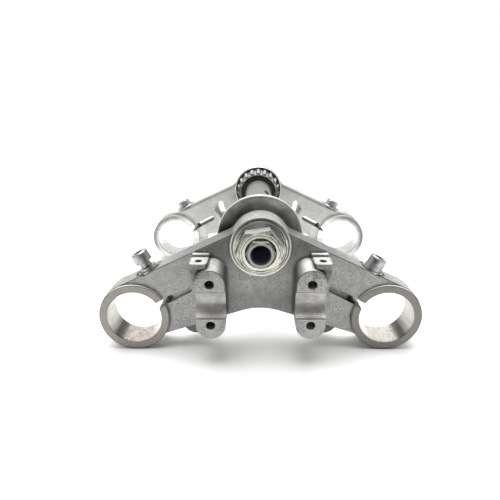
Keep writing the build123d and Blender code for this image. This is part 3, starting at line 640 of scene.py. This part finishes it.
def stem_key(s, colour):
    """Bright hexagonal key at the stem's top end, and the thread's end behind it with painted shade above and
    painted light below.
    """
    key = s.times(s.ramp(s.y, -0.0126, -0.0130),
                  s.ramp(s.axle, STEM_BORE_RADIUS + 0.0001, STEM_BORE_RADIUS + 0.0002))
    rings = s.ramp(s.tool_marks(s.axle, 2600), 0.3, 0.7, 0.7, 1.08)
    corners = s.blend(s.ramp(s.ny, -0.3, -0.6), 1.45,
                      s.ramp(s.axle, KEY_RADIUS - 0.0002, KEY_RADIUS + 0.0003, 1.0, 0.40))
    colour = s.mix(key, colour, s.scale((0.58, 0.59, 0.525), s.times(rings, corners)))
    thread_end = s.times(s.near(s.y, -0.0116, 0.0012, 0.0001),
                         s.ramp(s.axle, KEY_RADIUS - 0.0002, KEY_RADIUS + 0.0002))
    thread = s.tool_marks(s.axle, 2200)
    # Painted shade on the thread's upper part, painted light on its lower part.
    dim = s.scale((0.15, 0.14, 0.115), s.ramp(thread, 0.35, 0.65, 0.3, 1.5))
    lit = s.scale((0.80, 0.79, 0.68), s.ramp(thread, 0.3, 0.7, 0.8, 1.1))
    return s.mix(thread_end, colour, s.mix(s.ramp(s.z, 0.001, -0.004), dim, lit))


def stem_steel():
    """Satin steering stem, lighter on top as painted light, with a bright key, painted shade in the dimple
    and a bluish bore.
    """
    s = Shader("stem_satin")
    s.axle = s.radius(s.x, s.z)
    lines = s.tool_marks(s.y, 2400)
    # Lighter on top, darker on the sides and below: painted light and shade.
    tone = s.times(s.ramp(lines, 0.25, 0.75, 0.95, 1.04), s.ramp(s.noise(900, 2.0), 0.3, 0.7, 0.96, 1.03),
                   s.ramp(s.nz, 0.1, 0.72, 0.42, 1.0))
    colour = stem_key(s, s.scale((0.30, 0.30, 0.295), tone))
    # The dimple's mask is longer along the stem than across it.
    dimple = s.radius(s.radius(s.x, s.z, DIMPLE_X, DIMPLE_Z), s.times(s.y, 0.4), 0.0, DIMPLE_Y * 0.4)
    # Painted shade in the dimple.
    dimple_shade = s.ramp(dimple, 0.0027, 0.0032, 0.98, 0.0)
    colour = s.mix(dimple_shade, colour, (0.015, 0.015, 0.015))
    inside = s.ramp(s.axle, STEM_BORE_RADIUS + 0.00015, STEM_BORE_RADIUS + 0.00005)
    bluish = s.scale((0.46, 0.46, 0.62), s.ramp(s.y, -0.013, 0.02, 0.45, 1.3))
    bore = s.mix(s.ramp(s.y, 0.028, 0.045), bluish, (0.09, 0.09, 0.092))
    colour = s.mix(inside, colour, bore)
    s.bump(lines, 0.00003, 0.6)
    return s.finish(colour, s.blend(s.either(inside, dimple_shade), 0.42, 0.9), s.blend(inside, 0.45, 0.0))


def lower_half_shade(s):
    """Tone of a bearing's cage and rollers, darker in the lower half: painted shade."""
    return s.ramp(s.z, 0.0, 0.017, 0.45, 1.0)


def cage_metal():
    """Pressed cage: worn bright bars and small ring, black rim at the large end, painted shade on the lower
    half.
    """
    s = Shader("cage_worn")
    rim_start = s.blend(s.ramp(s.y, 0.10, 0.101), 0.0190, 0.0222)
    rim = s.ramp(s.calc("SUBTRACT", s.radius(s.x, s.z), rim_start), -0.0003, 0.0003)
    tone = s.times(s.ramp(s.noise(500), 0.3, 0.7, 0.75, 1.2), lower_half_shade(s))
    colour = s.mix(rim, s.scale((0.66, 0.66, 0.65), tone), s.scale((0.012, 0.012, 0.012), tone))
    s.bump(s.noise(800, 2.0), 0.00004, 0.6)
    return s.finish(colour, s.blend(rim, 0.3, 0.45), s.blend(rim, 0.9, 0.2))


def cone_metal():
    """Bearing cone: near black, with one ground ring on its small face."""
    s = Shader("cone_dark")
    reach = s.radius(s.x, s.z)
    ring = s.near(reach, 0.0166, 0.0005, 0.0003)
    tone = s.ramp(s.noise(420), 0.3, 0.7, 0.7, 1.3)
    colour = s.mix(ring, s.scale((0.010, 0.010, 0.010), tone), s.scale((0.07, 0.07, 0.068), tone))
    s.bump(s.tool_marks(reach, 2600), 0.00003, 0.6)
    return s.finish(colour, 0.34, 0.5)


def roller_metal():
    """Polished rollers, with painted shade on the lower half."""
    s = Shader("roller_polish")
    tone = s.times(s.ramp(s.noise(700, 2.0), 0.3, 0.7, 0.94, 1.04), lower_half_shade(s))
    s.bump(s.noise(900, 2.0), 0.00001, 0.4)
    return s.finish(s.scale((0.64, 0.64, 0.635), tone), s.ramp(s.noise(300, 2.0), 0.3, 0.7, 0.16, 0.24), 1.0)


def cover_metal():
    """Dark phosphated sheet with smears, painted reflections lighter to the right and at the top and dark at
    the lower left, and a painted highlight on the rim.
    """
    s = Shader("cover_dark")
    smear = s.noise(42, 5.0, 0.65)
    fine = s.noise(700, 3.0, 0.6)
    # Painted dark reflection at the lower left.
    painted_dark_low_left = s.times(s.ramp(s.x, -0.005, -0.018), s.ramp(s.z, 0.014, 0.004))
    # Painted reflections: lighter to the right and at the top.
    tone = s.times(s.ramp(smear, 0.33, 0.67, 0.60, 1.42), s.ramp(fine, 0.3, 0.7, 0.90, 1.10),
                   s.ramp(s.x, -0.012, 0.018, 1.08, 1.42), s.ramp(s.z, 0.015, 0.026, 1.0, 1.35),
                   s.blend(painted_dark_low_left, 1.0, 0.12))
    rim = s.ramp(s.radius(s.x, s.z), COVER_RIM_START, COVER_RIM_START + 0.0003)
    # Painted highlight on the rim.
    rim_highlight = s.scale((0.80, 0.81, 0.78), s.ramp(fine, 0.3, 0.7, 0.85, 1.05))
    colour = s.mix(rim, s.scale((0.33, 0.34, 0.325), tone), rim_highlight)
    s.bump(fine, 0.00004, 0.5)
    return s.finish(colour, s.blend(rim, s.ramp(smear, 0.3, 0.7, 0.46, 0.34), 0.4), s.blend(rim, 0.5, 0.6))


def clothe(material, slot, *names):
    for node in names:
        mesh = nodes[node].data
        mesh.materials.clear()
        mesh.materials.append(material)


def on_both_sides(name):
    return [name + "_" + side for side in SIDES]


def on_both_bearings(piece):
    return ["upper_bearing_" + piece, "lower_bearing_" + piece]


def dress():
    clothe(top_yoke_metal(), "cast_aluminium", "top_yoke")
    clothe(lower_yoke_metal(), "cast_aluminium", "lower_yoke")
    clothe(turned_zinc("zinc_nut", nut_places, (0.0133, 0.0146)), "zinc_plated_steel", "stem_nut")
    clothe(turned_zinc("zinc_washer", washer_places, (0.0168, 0.0183)), "zinc_plated_steel", "stem_washer")
    clothe(zinc("zinc_plain", (0.54, 0.55, 0.54)), "zinc_plated_steel",
           *on_both_sides("top_pinch_washer"), *on_both_sides("top_pinch_lock_washer"))
    clothe(zinc("zinc_screw", (0.46, 0.475, 0.468), threaded=True), "zinc_plated_steel",
           *on_both_sides("top_pinch_bolt"), *on_both_sides("lower_pinch_bolt"))
    clothe(stem_steel(), "stem_steel", "steering_stem")
    clothe(ground_steel("adjuster_steel", (0.30, 0.30, 0.30), 0.4), "stem_steel", "bearing_adjuster_nut")
    clothe(ground_steel("seal_steel", (0.97, 0.97, 0.95), 0.45), "stem_steel", "lower_dust_seal")
    clothe(cone_metal(), "bearing_steel", *on_both_bearings("cone"))
    clothe(roller_metal(), "bearing_steel", *on_both_bearings("rollers"))
    clothe(cage_metal(), "dark_cage", *on_both_bearings("cage"))
    clothe(cover_metal(), "dark_cover", "upper_dust_cover")


def sheet(name, start, end, level):
    """A flat rectangle between two corners."""
    mesh = bpy.data.meshes.new(name)
    corners = [(start[0], start[1], level), (end[0], start[1], level), (end[0], end[1], level),
               (start[0], end[1], level)]
    mesh.from_pydata(corners, [], [(0, 1, 2, 3)])
    made = bpy.data.objects.new(name, mesh)
    bpy.context.scene.collection.objects.link(made)
    return made


def floor():
    """White paper: white to the camera and in reflections, duller as a light source."""
    made = sheet("floor", (-FLOOR_REACH, -FLOOR_REACH), (FLOOR_REACH, FLOOR_REACH), FLOOR_Z)
    s = Shader("white_sweep")
    rays = s.node("ShaderNodeLightPath").outputs
    seen = s.either(rays["Is Camera Ray"], rays["Is Glossy Ray"], rays["Is Transmission Ray"])
    paper = s.ramp(s.noise(3.0), 0.0, 1.0, 0.995, 1.0)
    s.finish(s.mix(seen, s.scale((0.68, 0.68, 0.68), paper), s.scale((1.25, 1.25, 1.24), paper)), 0.9, 0.0)
    s.bsdf.inputs["Specular IOR Level"].default_value = 0.0
    made.data.materials.append(s.material)


def dark_card():
    """A dark cloth on the floor in front: it darkens what faces it, and lets light through from below."""
    made = sheet("dark_card", (-CARD_REACH, CARD_FRONT), (CARD_REACH, CARD_EDGE), FLOOR_Z + 0.001)
    s = Shader("dark_cloth")
    s.finish(s.scale((0.05, 0.05, 0.05), s.ramp(s.noise(30.0), 0.3, 0.7, 0.9, 1.1)), 0.95, 0.0)
    s.bsdf.inputs["Specular IOR Level"].default_value = 0.0
    choose = s.node("ShaderNodeMixShader")
    s.feed(choose.inputs[0], s.node("ShaderNodeNewGeometry").outputs["Backfacing"])
    s.feed(choose.inputs[1], s.bsdf.outputs[0])
    s.feed(choose.inputs[2], s.node("ShaderNodeBsdfTransparent").outputs[0])
    s.feed(s.tree.nodes["Material Output"].inputs["Surface"], choose.outputs[0])
    made.data.materials.append(s.material)
    made.visible_camera = False


def world():
    """White to the camera; for everything else a light tent that is dark on the camera's side."""
    made = bpy.data.worlds.new("tent")
    bpy.context.scene.world = made
    made.use_nodes = True
    tree = made.node_tree
    tree.nodes.clear()
    split = tree.nodes.new("ShaderNodeSeparateXYZ")
    tree.links.new(tree.nodes.new("ShaderNodeTexCoord").outputs["Generated"], split.inputs[0])
    # Brightness grows from the camera's side to the far side, and a little upwards.
    raised = tree.nodes.new("ShaderNodeMath")
    raised.operation = "MULTIPLY_ADD"
    tree.links.new(split.outputs[2], raised.inputs[0])
    raised.inputs[1].default_value = 0.35
    tree.links.new(split.outputs[1], raised.inputs[2])
    light = tree.nodes.new("ShaderNodeMapRange")
    light.interpolation_type = "SMOOTHSTEP"
    tree.links.new(raised.outputs[0], light.inputs[0])
    for socket, entry in zip(list(light.inputs)[1:5], (-0.35, 0.55, 0.14, 1.0)):
        socket.default_value = entry
    tent = tree.nodes.new("ShaderNodeBackground")
    tent.inputs["Color"].default_value = (1.0, 1.0, 0.985, 1.0)
    tree.links.new(light.outputs[0], tent.inputs["Strength"])
    white = tree.nodes.new("ShaderNodeBackground")
    white.inputs["Color"].default_value = (1.0, 1.0, 1.0, 1.0)
    choose = tree.nodes.new("ShaderNodeMixShader")
    tree.links.new(tree.nodes.new("ShaderNodeLightPath").outputs["Is Camera Ray"], choose.inputs[0])
    tree.links.new(tent.outputs[0], choose.inputs[1])
    tree.links.new(white.outputs[0], choose.inputs[2])
    tree.links.new(choose.outputs[0], tree.nodes.new("ShaderNodeOutputWorld").inputs["Surface"])


def overhead_lamp():
    """One broad soft lamp above, a little to the left and towards the rear."""
    lamp = bpy.data.lights.new("overhead", "SUN")
    lamp.energy = 2.25
    lamp.angle = math.radians(55.0)
    made = bpy.data.objects.new("overhead", lamp)
    made.rotation_mode = "QUATERNION"
    made.rotation_quaternion = Vector((0.08, -0.13, -1.0)).to_track_quat("-Z", "Y")
    bpy.context.scene.collection.objects.link(made)


def camera():
    level = math.cos(CAMERA_PITCH)
    forward = Vector((math.sin(CAMERA_YAW) * level, math.cos(CAMERA_YAW) * level, -math.sin(CAMERA_PITCH)))
    right = Vector((math.cos(CAMERA_YAW), -math.sin(CAMERA_YAW), 0.0))
    down = forward.cross(right)
    turned_right = right * math.cos(CAMERA_ROLL) + down * math.sin(CAMERA_ROLL)
    turned_down = down * math.cos(CAMERA_ROLL) - right * math.sin(CAMERA_ROLL)
    data = bpy.data.cameras.new("photo")
    data.sensor_width = SENSOR_WIDTH
    data.lens = FOCAL_PIXELS * SENSOR_WIDTH / PHOTO_PIXELS
    data.clip_start = 0.01
    made = bpy.data.objects.new("photo", data)
    bpy.context.scene.collection.objects.link(made)
    turn = Matrix((turned_right, -turned_down, -forward)).transposed().to_4x4()
    made.matrix_world = Matrix.Translation(CAMERA_PLACE) @ turn
    bpy.context.scene.camera = made


dress()
floor()
dark_card()
world()
overhead_lamp()
camera()
bpy.context.scene.view_settings.view_transform = "Standard"
